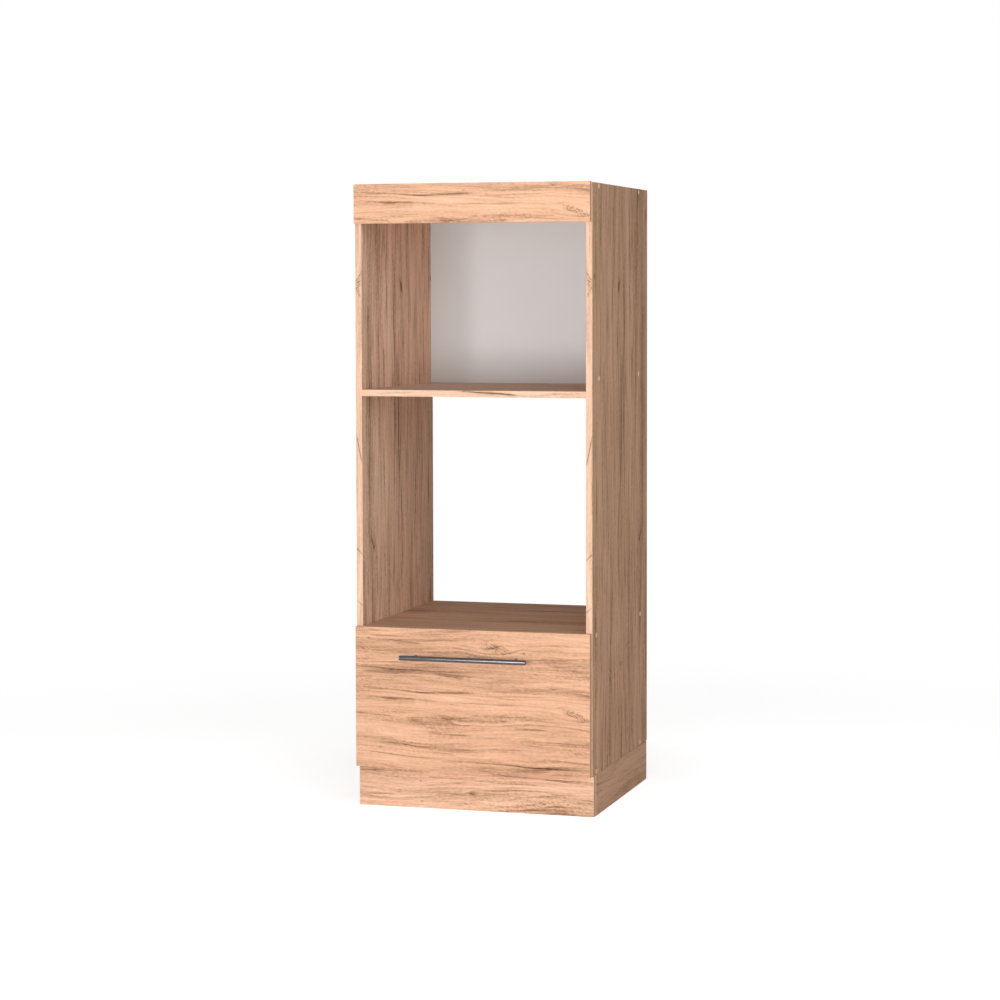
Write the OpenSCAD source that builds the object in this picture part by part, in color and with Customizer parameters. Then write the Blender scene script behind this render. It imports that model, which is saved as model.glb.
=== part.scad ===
// Tall kitchen cabinet for a built-in oven and a microwave oven, with one drawer below.
// Millimetres. The origin is the middle of the footprint box on the floor:
// +X is to the right, +Y goes back to the wall, +Z is up. The drawer is shut.

/* [Cabinet] */
// Width across the two side panels
cabinet_w = 600; // [500:5:900]
// Height from the floor to the top of the side panels
cabinet_h = 1530; // [1460:5:1700]
// Depth of the side panels, without the fronts
carcass_d = 560; // [550:5:620]
// Thickness of the laminated boards
board_t = 16; // [15:0.5:19]

/* [Plinth] */
// Height of the plinth boards
plinth_h = 100; // [80:5:150]
// How far the plinth front stands behind the carcass front
plinth_setback = 14; // [10:1:40]
// How far the plinth sides end before the carcass back
plinth_rear_setback = 10; // [5:1:40]
// How far the plinth sides stand out past the side panels
plinth_side_proud = 1.5; // [0.5:0.5:3]

/* [Niches] */
// Clear height of the drawer bay, bottom panel to oven shelf
drawer_bay_h = 316; // [310:2:360]
// Clear height of the oven niche
oven_niche_h = 566; // [540:2:590]
// Clear height of the oven niche with its upper shelf in the spare place
tall_niche_h = 603; // [596:1:610]

/* [Fronts] */
// Thickness of the drawer front and the fascia
front_t = 16; // [15:0.5:19]
// How far the fronts end inside the cabinet width, on each side
front_side_gap = 2; // [1:0.5:4]
// Height of the fascia above the microwave niche
fascia_h = 96; // [90:2:110]
// How far the fascia stands above the side panels
fascia_rise = 1.5; // [0:0.5:3]
// Height of the bottom edge of the drawer front above the carcass bottom
drawer_front_rise = 2; // [1:0.5:6]
// Air between the shut drawer front and the carcass
front_air = 1; // [0.8:0.1:2]

/* [Back panels] */
// Thickness of the hardboard
back_t = 3; // [2.5:0.5:4]
// Wood left behind the groove that holds the back panels
back_inset = 12; // [10:1:20]
// Depth of the grooves that hold the back panels
groove_depth = 8; // [5:0.5:9]

/* [Drawer] */
// Height of the drawer box
drawer_box_h = 200; // [170:5:220]
// Air under the drawer floor, down to the bottom panel
drawer_lift = 21; // [18:1:30]
// Thickness of the drawer floor
drawer_floor_t = 3; // [2.5:0.5:4]
// Gap between each side panel and the drawer box, taken up by a runner
runner_gap = 12.5; // [12.5:0.1:13.5]

/* [Runners] */
// Length of the runners and of the drawer box
runner_len = 500; // [400:50:500]
// Length of the runners that stays in the cabinet when the drawer is fully out
runner_overlap = 140; // [120:10:200]
// Thickness of the runner sheet
runner_t = 1.2; // [1:0.1:1.3]
// Diameter of the runner rollers
roller_d = 20; // [18:0.5:21]
// Width of the runner rollers
roller_w = 5.6; // [4.5:0.1:5.8]
// Diameter of the roller rivets
rivet_d = 4; // [3:0.5:5]
// Width of the flange under the drawer floor
drawer_flange_w = 14; // [10:1:20]
// Distance of the front roller behind the carcass front
front_roller_y = 15; // [12:1:25]
// Distance of the rear roller from the rear end of the drawer runner
rear_roller_inset = 14; // [12:1:25]
// Length at the front where the cabinet runner has no upper flange
runner_mouth = 60; // [40:5:90]

/* [Handle] */
// Length of the handle bar
handle_len = 320; // [200:10:400]
// Diameter of the handle bar
handle_d = 12; // [10:0.5:14]
// Distance from the drawer front to the middle of the bar
handle_standoff = 30; // [26:1:40]
// Distance between the two handle screws
handle_spacing = 256; // [128:32:256]
// Sideways place of the handle, as photographed
handle_offset = -14; // [-40:1:40]
// Distance from the top of the drawer front to the bar
handle_drop = 70; // [55:1:75]
// Diameter of the handle posts
post_d = 9; // [8:0.5:11]

/* [Carcass screws] */
// Length of the carcass screws
confirmat_len = 50; // [40:1:60]
// Shank diameter of the carcass screws
confirmat_d = 7; // [5:0.5:7]
// Core diameter of the threaded end
confirmat_core_d = 5; // [4:0.5:5]
// Head diameter of the carcass screws
confirmat_head_d = 10; // [9:0.5:11]
// Head height of the carcass screws
confirmat_head_h = 4; // [3:0.5:5]
// Across flats of the hexagon socket
socket_af = 4; // [3:0.5:5]
// Distance of the front screws behind the front edge, at the top and the spare holes
upper_screw_front = 63; // [50:1:80]
// Distance of the rear screws behind the front edge, at the top and the spare holes
upper_screw_rear = 465; // [440:1:480]
// Distance of the front screws behind the front edge, at the oven shelf and the bottom
lower_screw_front = 36; // [30:1:60]
// Distance of the rear screws behind the front edge, at the oven shelf and the bottom
lower_screw_rear = 484; // [460:1:500]
// Diameter of the screw caps
cap_d = 12.5; // [12:0.5:15]
// Height of the screw caps over the side panels, dome and rim
cap_t = 1.5; // [1:0.1:2.5]
// Height of the straight rim of the screw caps
cap_rim_h = 0.4; // [0.3:0.1:0.8]

/* [Shelf fittings] */
// Diameter of the cam locks
cam_d = 15; // [12:0.5:15]
// Height of the cam locks
cam_h = 12; // [10:0.5:13]
// Distance from the shelf end to the middle of a cam lock
cam_reach = 34; // [24:1:34]
// Diameter of the cam bolts
cam_bolt_d = 7; // [6:0.5:8]
// Distance of the front and rear cam bolts from the shelf's front and rear edges
cam_inset = 50; // [40:1:70]
// Diameter of the dowels
dowel_d = 8; // [6:0.5:8]
// Length of the dowels
dowel_len = 30; // [25:1:35]
// Distance from a cam bolt to the dowel beside it
dowel_step = 32; // [25:1:40]

/* [Brackets and small screws] */
// Thickness of the angle brackets
bracket_t = 2; // [1.5:0.1:2.5]
// Leg length of the angle brackets
bracket_leg = 25; // [20:1:30]
// Width of the angle brackets
bracket_w = 30; // [20:1:40]
// Diameter of the chipboard screws
screw_d = 3.5; // [3:0.5:4]
// Length of the screws in the brackets and runners
screw_len = 14; // [10:1:14]
// Head diameter of the small screws
screw_head_d = 7; // [6:0.5:8]
// Head height of the bracket screws
screw_head_h = 2; // [1.5:0.1:2.5]

/* [Hidden] */

$fn = 48;
eps = 0.01;        // cutters overshoot open faces by this
fit = 0.05;        // radial clearance of a screw, pin or dowel in its hole
running = 0.1;     // clearance of a roller to its tracks
slot_play = 0.1;   // play of a back panel in its groove, on each face
lip = 1;           // small steps and shoulders of turned parts
screw_tip = 2;     // length of the point of a screw
screw_tip_d = 1;   // width of the very tip of a small screw
pilot_spare = 0.5; // depth of a pilot hole past its screw
bracket_play = 1;  // play of a screw in its bracket, on the diameter

// Heights
carcass_z = plinth_h;
floor_z = carcass_z + board_t;
oven_shelf_top = floor_z + drawer_bay_h + board_t;
shelf_z = oven_shelf_top + oven_niche_h;
shelf_top = shelf_z + board_t;
fascia_top = cabinet_h + fascia_rise;
fascia_z = fascia_top - fascia_h;
drawer_front_z = carcass_z + drawer_front_rise;
drawer_front_top = oven_shelf_top;

// Depths
handle_reach = handle_standoff + handle_d / 2;
footprint_d = carcass_d + front_air + front_t + handle_reach;
back_y = footprint_d / 2;
front_y = back_y - carcass_d;
drawer_y = front_y - front_air;
face_y = drawer_y - front_t;
bar_y = face_y - handle_standoff;
panel_back_y = back_y - back_inset;
panel_y = panel_back_y - back_t;

// Widths, for the right half
half_w = cabinet_w / 2;
inner_x = half_w - board_t;
front_half_w = half_w - front_side_gap;
box_x = inner_x - runner_gap;

// Back panels
groove_w = back_t + 2 * slot_play;
groove_spare = 0.5;
panel_reach = groove_depth - groove_spare;

// Drawer box
drawer_floor_z = floor_z + drawer_lift;
box_z = drawer_floor_z + drawer_floor_t;
box_top = box_z + drawer_box_h;
box_back_y = drawer_y + runner_len;
low_screw_margin = 60;
high_screw_margin = 50;
drawer_screw_zs = [box_z + low_screw_margin, box_top - high_screw_margin];
drawer_screw_ys = [drawer_y + board_t / 2, box_back_y - board_t / 2];
front_screw_margin = 90;
front_screw_x = box_x - front_screw_margin;
front_screw_cover = 4;
front_screw_len = board_t + front_t - front_screw_cover;
nail_d = 1.6;
nail_len = 18;
nail_head_d = 4;
nail_xs = [for (step = [-1.5 : 1 : 1.5]) step * box_x / 2];
bumper_d = 8;
bumper_margin = 30;
bumper_air = 0.1;

// Runners, measured inwards from the side panel
drawer_travel = runner_len - runner_overlap;
roller_r = roller_d / 2;
roller_rise = 8;
roller_z = box_z + roller_rise;
track_z = roller_z - roller_r - running;
ride_z = roller_z + roller_r + running;
roller_side_air = 0.2;
rivet_head_h = 0.8;
rivet_rim = 1.5;
rivet_head_d = rivet_d + 2 * rivet_rim;
flat_head_h = 0.8;
web_air = 0.6;
cabinet_flange_air = 1.3;
upper_flange_gap = 3.3;
cabinet_flange_w = runner_gap - runner_t - cabinet_flange_air;
upper_flange_w = runner_gap - runner_t - upper_flange_gap;
upper_flange_air = 1;
rear_head_s = runner_t + flat_head_h + web_air;
rear_roller_s = rear_head_s + rivet_head_h + roller_side_air;
spacer_h = 1.5;
front_roller_s = runner_t + spacer_h + roller_side_air;
front_head_s = front_roller_s + roller_w + roller_side_air;
drawer_web_s = runner_gap - runner_t;
front_roller_pos = front_y + front_roller_y;
rear_roller_pos = box_back_y - rear_roller_inset;
stop_h = 4;
stop_air = 0.4;
stop_y = rear_roller_pos - drawer_travel - sqrt(pow(roller_r, 2) - pow(roller_r - stop_h, 2))
    - stop_air - runner_t;
runner_screw_margin = 60;
runner_screw_steps = [runner_screw_margin, runner_len / 2, runner_len - runner_screw_margin];
cabinet_screw_z = roller_z;
drawer_screw_rise = 2;
drawer_screw_z = roller_z + drawer_screw_rise;

// Shelf fittings
cam_z = shelf_z + board_t / 2;
cam_ys = [front_y + cam_inset, panel_y - cam_inset];
dowel_ys = [cam_ys[0] + dowel_step, cam_ys[1] - dowel_step];
cam_bolt_grip = 11;
cam_bolt_thread_d = 5;
dowel_grip = 10;

// Carcass screws: pairs of place and height on each side panel
top_screws = [for (y = [upper_screw_front, upper_screw_rear])
    [front_y + y, cabinet_h - board_t / 2]];
oven_shelf_screws = [for (y = [lower_screw_front, lower_screw_rear])
    [front_y + y, oven_shelf_top - board_t / 2]];
bottom_screws = [for (y = [lower_screw_front, lower_screw_rear])
    [front_y + y, carcass_z + board_t / 2]];
spare_holes = [for (y = [upper_screw_front, upper_screw_rear])
    [front_y + y, oven_shelf_top + tall_niche_h + board_t / 2]];
carcass_screws = concat(top_screws, oven_shelf_screws, bottom_screws);
spare_hole_floor = 3;

// Handle
handle_z = drawer_front_top - handle_drop;
post_len = handle_standoff - handle_d / 2;
handle_screw_d = 4;
handle_screw_grip = 8;
handle_screw_head_d = 8;
handle_screw_head_h = 2.6;
spigot_d = 5;
spigot_len = 4;
handle_slot = [4, 1, 1.5];

// Plinth
plinth_front_y = front_y + plinth_setback;
plinth_frame_y = plinth_front_y + board_t;
plinth_rear_y = back_y - plinth_rear_setback;
plinth_out_x = half_w + plinth_side_proud;
plinth_in_x = plinth_out_x - board_t;
top_bracket_margin = 120;
plinth_top_bracket_ys = [plinth_frame_y + top_bracket_margin, plinth_rear_y - top_bracket_margin];
bracket_margin = 15;

// Colours
oak = [0.80, 0.62, 0.47];
oak_side = [0.66, 0.50, 0.38];
grey_board = [0.75, 0.75, 0.76];
zinc = [0.72, 0.73, 0.75];
cap_colour = [0.90, 0.72, 0.63];

// ---- Shared shapes ----

// A box between two corners
module block(low, high) {
    translate(low) cube(high - low);
}

// Children drawn along +Z point to the cabinet's middle from the right side
module inwards(x, y, z) {
    translate([x, y, z]) rotate([0, -90, 0]) children();
}

// Children are drawn as they are and mirrored to the left side
module both_sides() {
    children();
    mirror([1, 0, 0]) children();
}

// Carcass screw, its head flush at zero, driven along +Z
module confirmat() {
    cone_h = confirmat_head_h - lip;
    tip_d = confirmat_core_d - 3;
    socket_floor = 0.5;
    difference() {
        union() {
            cylinder(d = confirmat_head_d, h = lip);
            translate([0, 0, lip])
                cylinder(d1 = confirmat_head_d, d2 = confirmat_d, h = cone_h);
            translate([0, 0, confirmat_head_h])
                cylinder(d = confirmat_d, h = board_t - confirmat_head_h);
            translate([0, 0, board_t])
                cylinder(d = confirmat_core_d, h = confirmat_len - board_t - screw_tip);
            translate([0, 0, confirmat_len - screw_tip])
                cylinder(d1 = confirmat_core_d, d2 = tip_d, h = screw_tip);
        }
        translate([0, 0, -eps])
            cylinder(d = socket_af / cos(30), h = confirmat_head_h - socket_floor, $fn = 6);
    }
}

// The stepped hole of a carcass screw
module confirmat_hole() {
    translate([0, 0, -eps])
        cylinder(d = confirmat_head_d + 2 * fit, h = lip + fit + eps);
    translate([0, 0, lip + fit])
        cylinder(d1 = confirmat_head_d + 2 * fit, d2 = confirmat_d + 2 * fit,
                 h = confirmat_head_h - lip);
    cylinder(d = confirmat_d + 2 * fit, h = board_t + fit);
    cylinder(d = confirmat_core_d + 2 * fit, h = confirmat_len + lip);
}

// The stopped hole of the spare shelf place, drilled from outside
module spare_hole() {
    translate([0, 0, -eps]) cylinder(d = confirmat_d, h = board_t - spare_hole_floor);
}

// Places children at a list of screw places on the right side panel
module at_screws(places) {
    for (place = places) inwards(half_w, place[0], place[1]) children();
}

// Small screw with a round head: the seat is at zero, the shank goes along +Z
module small_screw(head_h, length = screw_len) {
    translate([0, 0, -head_h]) cylinder(d = screw_head_d, h = head_h);
    cylinder(d = screw_d, h = length - screw_tip);
    translate([0, 0, length - screw_tip])
        cylinder(d1 = screw_d, d2 = screw_tip_d, h = screw_tip);
}

// The pilot hole of a small screw
module pilot(length = screw_len) {
    translate([0, 0, -eps]) cylinder(d = screw_d + 2 * fit, h = length + pilot_spare);
}

// Angle bracket: its corner is at zero, the legs lie along +X and +Y, its width along Z
module angle_bracket() {
    difference() {
        linear_extrude(height = bracket_w, center = true)
            difference() {
                square(bracket_leg);
                translate([bracket_t, bracket_t]) square(bracket_leg);
            }
        bracket_screw_places() translate([0, 0, -bracket_t - eps])
            cylinder(d = screw_d + bracket_play, h = bracket_t + 2 * eps);
    }
}

// The two screw seats of a bracket; children are drawn into the boards along +Z
module bracket_screw_places() {
    middle = (bracket_leg + bracket_t) / 2;
    translate([middle, 0, 0]) rotate([90, 0, 0]) children();
    translate([0, middle, 0]) rotate([0, -90, 0]) children();
}

// The screws of one bracket, their heads on its inner faces
module bracket_screws() {
    bracket_screw_places() translate([0, 0, -bracket_t]) small_screw(screw_head_h);
}

// ---- Carcass ----

module at_cam_bolts() {
    for (y = cam_ys) inwards(inner_x + cam_bolt_grip, y, cam_z) children();
}

module at_dowels() {
    for (y = dowel_ys) inwards(inner_x + dowel_grip, y, cam_z) children();
}

module at_fascia_brackets() {
    z = (cabinet_h - board_t + fascia_z) / 2;
    translate([inner_x, front_y, z]) mirror([1, 0, 0]) children();
}

module at_cabinet_runner_screws() {
    for (step = runner_screw_steps) {
        translate([inner_x, drawer_y + step, cabinet_screw_z]) rotate([0, 90, 0]) children();
    }
}

// Right side panel, drilled and grooved
module side_board() {
    difference() {
        block([inner_x, front_y, carcass_z], [half_w, back_y, cabinet_h]);
        at_screws(carcass_screws) confirmat_hole();
        at_screws(spare_holes) spare_hole();
        at_cam_bolts() cylinder(d = cam_bolt_thread_d + 2 * fit, h = cam_bolt_grip + eps);
        at_dowels() cylinder(d = dowel_d + 2 * fit, h = dowel_grip + eps);
        at_fascia_brackets() bracket_screw_places() pilot();
        at_cabinet_runner_screws() pilot(screw_len - runner_t);
        side_groove(shelf_z, cabinet_h - board_t + groove_depth);
        side_groove(floor_z - groove_depth, oven_shelf_top - board_t + groove_depth);
    }
}

// Groove for a back panel in the right side panel
module side_groove(low_z, high_z) {
    cut_y = panel_y - slot_play;
    block([inner_x - eps, cut_y, low_z], [inner_x + groove_depth, cut_y + groove_w, high_z]);
}

module side_panel_right() {
    color(oak_side) side_board();
}

module side_panel_left() {
    color(oak_side) mirror([1, 0, 0]) side_board();
}

// A board between the side panels, held by carcass screws
module cross_board(bottom, screws) {
    difference() {
        block([-inner_x, front_y, bottom], [inner_x, back_y, bottom + board_t]);
        both_sides() at_screws(screws) confirmat_hole();
        children();
    }
}

module back_groove(bottom) {
    block([-half_w, panel_y - slot_play, bottom],
          [half_w, panel_y - slot_play + groove_w, bottom + groove_depth + eps]);
}

module top_panel() {
    bottom = cabinet_h - board_t;
    color(oak_side) cross_board(bottom, top_screws) back_groove(bottom - eps);
}

module bottom_panel() {
    color(oak_side) cross_board(carcass_z, bottom_screws) {
        back_groove(floor_z - groove_depth);
        at_plinth_top_brackets() bracket_screw_places() pilot(screw_len - bracket_t);
    }
}

module oven_shelf() {
    bottom = oven_shelf_top - board_t;
    color(oak) cross_board(bottom, oven_shelf_screws) back_groove(bottom - eps);
}

// Shelf under the microwave oven, held from below by cam locks
module microwave_shelf() {
    color(oak) difference() {
        block([-inner_x, front_y, shelf_z], [inner_x, panel_y, shelf_top]);
        both_sides() {
            at_cam_bolts() cylinder(d = cam_bolt_d + 2 * fit + lip, h = cam_bolt_grip + cam_reach);
            at_cam_locks() cylinder(d = cam_d + 2 * fit, h = cam_h + eps);
            at_dowels() cylinder(d = dowel_d + 2 * fit, h = dowel_len + lip);
        }
    }
}

module cam_bolt() {
    neck_d = cam_bolt_d - 2;
    head_h = 3;
    cylinder(d = cam_bolt_thread_d, h = cam_bolt_grip);
    translate([0, 0, cam_bolt_grip]) cylinder(d = cam_bolt_d, h = lip);
    translate([0, 0, cam_bolt_grip]) cylinder(d = neck_d, h = cam_reach - head_h);
    translate([0, 0, cam_bolt_grip + cam_reach - head_h]) cylinder(d = cam_bolt_d, h = head_h);
}

module cam_bolts() {
    color(zinc) both_sides() at_cam_bolts() cam_bolt();
}

module at_cam_locks() {
    for (y = cam_ys) translate([inner_x - cam_reach, y, shelf_z - eps]) children();
}

// Cam lock: a round casting with a mouth for the bolt head and a cross slot below
module cam_lock() {
    mouth = cam_bolt_d + 2;
    slot_w = 1.6;
    slot_len = cam_d / 2;
    slot_depth = 2;
    difference() {
        cylinder(d = cam_d, h = cam_h);
        translate([-cam_bolt_d, 0, board_t / 2]) rotate([0, 90, 0])
            cylinder(d = mouth, h = cam_d + cam_bolt_d);
        for (turn = [0, 90]) rotate([0, 0, turn])
            translate([-slot_len / 2, -slot_w / 2, -eps]) cube([slot_len, slot_w, slot_depth]);
    }
}

module cam_locks() {
    color(zinc) both_sides() translate([0, 0, eps]) at_cam_locks() cam_lock();
}

module shelf_dowels() {
    chamfer = 1;
    color([0.85, 0.75, 0.55]) both_sides() at_dowels() {
        cylinder(d1 = dowel_d - 2 * chamfer, d2 = dowel_d, h = chamfer);
        translate([0, 0, chamfer]) cylinder(d = dowel_d, h = dowel_len - 2 * chamfer);
        translate([0, 0, dowel_len - chamfer])
            cylinder(d1 = dowel_d, d2 = dowel_d - 2 * chamfer, h = chamfer);
    }
}

module upper_back_panel() {
    reach_x = inner_x + panel_reach;
    color(grey_board)
        block([-reach_x, panel_y, shelf_z], [reach_x, panel_back_y, cabinet_h - board_t + panel_reach]);
}

module lower_back_panel() {
    reach_x = inner_x + panel_reach;
    color(grey_board)
        block([-reach_x, panel_y, floor_z - panel_reach],
              [reach_x, panel_back_y, oven_shelf_top - board_t + panel_reach]);
}

module confirmat_screws_right() {
    color(zinc) at_screws(carcass_screws) confirmat();
}

module confirmat_screws_left() {
    color(zinc) mirror([1, 0, 0]) at_screws(carcass_screws) confirmat();
}

// Domed cap with a stem that plugs the screw's socket or the spare hole
module screw_cap() {
    stem_play = 0.2;
    dome_h = cap_t - cap_rim_h;
    dome_r = (pow(cap_d / 2, 2) + pow(dome_h, 2)) / (2 * dome_h);
    dome_steps = 5;
    dome_turn = asin(cap_d / 2 / dome_r) / dome_steps;
    dome = [for (step = [0 : dome_steps])
        [dome_r * sin(step * dome_turn), dome_r * (1 - cos(step * dome_turn)) - cap_t]];
    rotate_extrude() polygon(concat(dome, [[cap_d / 2, 0], [0, 0]]));
    cylinder(d = socket_af - stem_play, h = confirmat_head_h - lip);
}

module screw_caps_right() {
    color(cap_colour) at_screws(concat(carcass_screws, spare_holes)) screw_cap();
}

module screw_caps_left() {
    color(cap_colour) mirror([1, 0, 0])
        at_screws(concat(carcass_screws, spare_holes)) screw_cap();
}

module fascia() {
    color(oak) difference() {
        block([-front_half_w, front_y - front_t, fascia_z], [front_half_w, front_y, fascia_top]);
        both_sides() at_fascia_brackets() bracket_screw_places() pilot(screw_len - bracket_t);
    }
}

module fascia_brackets() {
    color(zinc) both_sides() at_fascia_brackets() angle_bracket();
}

module fascia_screws() {
    color(zinc) both_sides() at_fascia_brackets() bracket_screws();
}

// ---- Plinth ----

// Corners inside the plinth frame, at the front and the rear
module at_plinth_corners() {
    z = bracket_w / 2 + bracket_margin;
    translate([plinth_in_x, plinth_frame_y, z]) mirror([1, 0, 0]) children();
    translate([plinth_in_x, plinth_rear_y - board_t, z]) rotate([0, 0, 180]) children();
}

// Under the bottom panel, against the plinth sides
module at_plinth_top_brackets() {
    both_sides() for (y = plinth_top_bracket_ys)
        translate([plinth_in_x, y, plinth_h]) rotate([90, 0, 180]) mirror([0, 1, 0]) children();
}

module plinth_front() {
    color(oak) difference() {
        block([-half_w, plinth_front_y, 0], [half_w, plinth_frame_y, plinth_h]);
        both_sides() at_plinth_corners() bracket_screw_places() pilot(screw_len - bracket_t);
    }
}

module plinth_side_board() {
    difference() {
        block([plinth_in_x, plinth_frame_y, 0], [plinth_out_x, plinth_rear_y, plinth_h]);
        at_plinth_corners() bracket_screw_places() pilot(screw_len - bracket_t);
        at_plinth_top_brackets() bracket_screw_places() pilot(screw_len - bracket_t);
    }
}

module plinth_side_right() {
    color(oak_side) plinth_side_board();
}

module plinth_side_left() {
    color(oak_side) mirror([1, 0, 0]) plinth_side_board();
}

module plinth_rear() {
    color(oak_side) difference() {
        block([-plinth_in_x, plinth_rear_y - board_t, 0], [plinth_in_x, plinth_rear_y, plinth_h]);
        both_sides() at_plinth_corners() bracket_screw_places() pilot(screw_len - bracket_t);
    }
}

module plinth_corner_brackets() {
    color(zinc) both_sides() at_plinth_corners() angle_bracket();
}

module plinth_top_brackets() {
    color(zinc) at_plinth_top_brackets() angle_bracket();
}

module plinth_screws() {
    color(zinc) {
        both_sides() at_plinth_corners() bracket_screws();
        at_plinth_top_brackets() bracket_screws();
    }
}

// ---- Drawer box ----

module at_drawer_confirmats() {
    for (y = drawer_screw_ys, z = drawer_screw_zs) inwards(box_x, y, z) children();
}

module at_drawer_runner_screws() {
    for (step = runner_screw_steps)
        inwards(box_x, drawer_y + step, drawer_screw_z) children();
}

module at_front_screws() {
    for (x = [-front_screw_x, front_screw_x], z = drawer_screw_zs)
        translate([x, drawer_y + board_t, z]) rotate([90, 0, 0]) children();
}

module at_handle_screws() {
    for (side = [-1, 1])
        translate([handle_offset + side * handle_spacing / 2, drawer_y, handle_z])
            rotate([90, 0, 0]) children();
}

module at_nails() {
    for (x = nail_xs, y = drawer_screw_ys) translate([x, y, drawer_floor_z]) children();
}

module drawer_front() {
    color(oak) difference() {
        block([-front_half_w, face_y, drawer_front_z], [front_half_w, drawer_y, drawer_front_top]);
        at_front_screws() pilot(front_screw_len);
        at_handle_screws() translate([0, 0, -eps])
            cylinder(d = handle_screw_d + 2 * fit, h = front_t + 2 * eps);
    }
}

module drawer_side_board() {
    difference() {
        block([box_x - board_t, drawer_y, box_z], [box_x, box_back_y, box_top]);
        at_drawer_confirmats() confirmat_hole();
        at_drawer_runner_screws() pilot(screw_len - runner_t);
    }
}

module drawer_side_right() {
    color(oak_side) drawer_side_board();
}

module drawer_side_left() {
    color(oak_side) mirror([1, 0, 0]) drawer_side_board();
}

// A board across the drawer box
module drawer_cross_board(y) {
    width = box_x - board_t;
    difference() {
        block([-width, y, box_z], [width, y + board_t, box_top]);
        both_sides() at_drawer_confirmats() confirmat_hole();
        at_nails() cylinder(d = nail_d + 2 * fit, h = nail_len + lip);
    }
}

module drawer_inner_front() {
    color(oak_side) difference() {
        drawer_cross_board(drawer_y);
        at_front_screws() pilot(front_screw_len);
    }
}

module drawer_back() {
    color(oak_side) drawer_cross_board(box_back_y - board_t);
}

module drawer_floor() {
    color(grey_board) difference() {
        block([-box_x, drawer_y, drawer_floor_z], [box_x, box_back_y, box_z]);
        at_nails() translate([0, 0, -eps])
            cylinder(d = nail_d + 2 * fit, h = drawer_floor_t + 2 * eps);
    }
}

module drawer_floor_nails() {
    head_h = 0.8;
    color(zinc) at_nails() {
        translate([0, 0, -head_h]) cylinder(d = nail_head_d, h = head_h);
        cylinder(d = nail_d, h = nail_len);
    }
}

module drawer_confirmats() {
    color(zinc) both_sides() at_drawer_confirmats() confirmat();
}

module drawer_front_screws() {
    color(zinc) at_front_screws() small_screw(screw_head_h, front_screw_len);
}

// Soft dots that meet the front edges of the side panels
module drawer_bumpers() {
    zs = [drawer_front_z + bumper_margin, drawer_front_top - bumper_margin];
    color([0.9, 0.9, 0.9]) both_sides() for (z = zs)
        translate([inner_x + board_t / 2, drawer_y, z]) rotate([-90, 0, 0])
            cylinder(d = bumper_d, h = front_air - bumper_air);
}

// ---- Runners ----
// Each profile is drawn with the distance from the side panel across and the height up.

module along_runner(from_y, to_y) {
    translate([inner_x, to_y, 0]) rotate([90, 0, 0])
        linear_extrude(height = to_y - from_y) mirror([1, 0, 0]) children();
}

module strip(s0, z0, s1, z1) {
    translate([s0, z0]) square([s1 - s0, z1 - z0]);
}

// Part fixed to the side panel: a web, the track below and the guard flange above
module cabinet_member() {
    web_top = ride_z + 2 * runner_t + upper_flange_air;
    rear = drawer_y + runner_len;
    difference() {
        union() {
            along_runner(drawer_y + front_air, rear) {
                strip(0, track_z - runner_t, runner_t, web_top);
                strip(0, track_z - runner_t, cabinet_flange_w, track_z);
            }
            along_runner(drawer_y + runner_mouth, rear)
                strip(0, web_top - runner_t, upper_flange_w, web_top);
            along_runner(stop_y, stop_y + runner_t)
                strip(runner_t - eps, track_z - eps, cabinet_flange_w, track_z + stop_h);
        }
        translate([-runner_t, 0, 0]) at_cabinet_runner_screws()
            cylinder(d = screw_d + 2 * fit, h = 4 * runner_t, center = true);
        inwards(inner_x + eps, front_roller_pos, roller_z)
            cylinder(d = rivet_d + 2 * fit, h = 2 * runner_t);
    }
}

module runner_cabinet_right() {
    color("white") cabinet_member();
}

module runner_cabinet_left() {
    color("white") mirror([1, 0, 0]) cabinet_member();
}

// Part fixed to the drawer: a web, the running flange above and the floor flange below
module drawer_member() {
    low_z = drawer_floor_z - runner_t;
    difference() {
        along_runner(drawer_y, box_back_y) {
            strip(drawer_web_s, low_z, runner_gap, ride_z + runner_t);
            strip(rear_head_s, ride_z, runner_gap, ride_z + runner_t);
            strip(drawer_web_s, low_z, runner_gap + drawer_flange_w, drawer_floor_z);
        }
        translate([runner_t, 0, 0]) at_drawer_runner_screws()
            cylinder(d = screw_d + 2 * fit, h = 4 * runner_t, center = true);
        inwards(inner_x - drawer_web_s + eps, rear_roller_pos, roller_z)
            cylinder(d = rivet_d + 2 * fit, h = 2 * runner_t);
    }
}

module runner_drawer_right() {
    color("white") drawer_member();
}

module runner_drawer_left() {
    color("white") mirror([1, 0, 0]) drawer_member();
}

// Flat-headed screws, driven outwards into the side panels
module runner_screws_cabinet() {
    color(zinc) both_sides() translate([-runner_t, 0, 0]) at_cabinet_runner_screws()
        small_screw(flat_head_h);
}

// Flat-headed screws, driven inwards into the drawer sides
module runner_screws_drawer() {
    color(zinc) both_sides() translate([runner_t, 0, 0]) at_drawer_runner_screws()
        small_screw(flat_head_h);
}

// Roller along +Z, with a raised hub on both faces
module roller() {
    rim = 1.2;
    difference() {
        cylinder(r = roller_r, h = roller_w);
        for (z = [-eps, roller_w - rim / 2])
            translate([0, 0, z]) difference() {
                cylinder(r = roller_r - 2 * rim, h = rim / 2 + eps);
                translate([0, 0, -eps]) cylinder(d = rivet_head_d, h = rim);
            }
        translate([0, 0, -eps]) cylinder(d = rivet_d + 2 * fit, h = roller_w + 2 * eps);
    }
}

module front_roller_right() {
    color("ivory") inwards(inner_x - front_roller_s, front_roller_pos, roller_z) roller();
}

module front_roller_left() {
    color("ivory") mirror([1, 0, 0])
        inwards(inner_x - front_roller_s, front_roller_pos, roller_z) roller();
}

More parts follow.
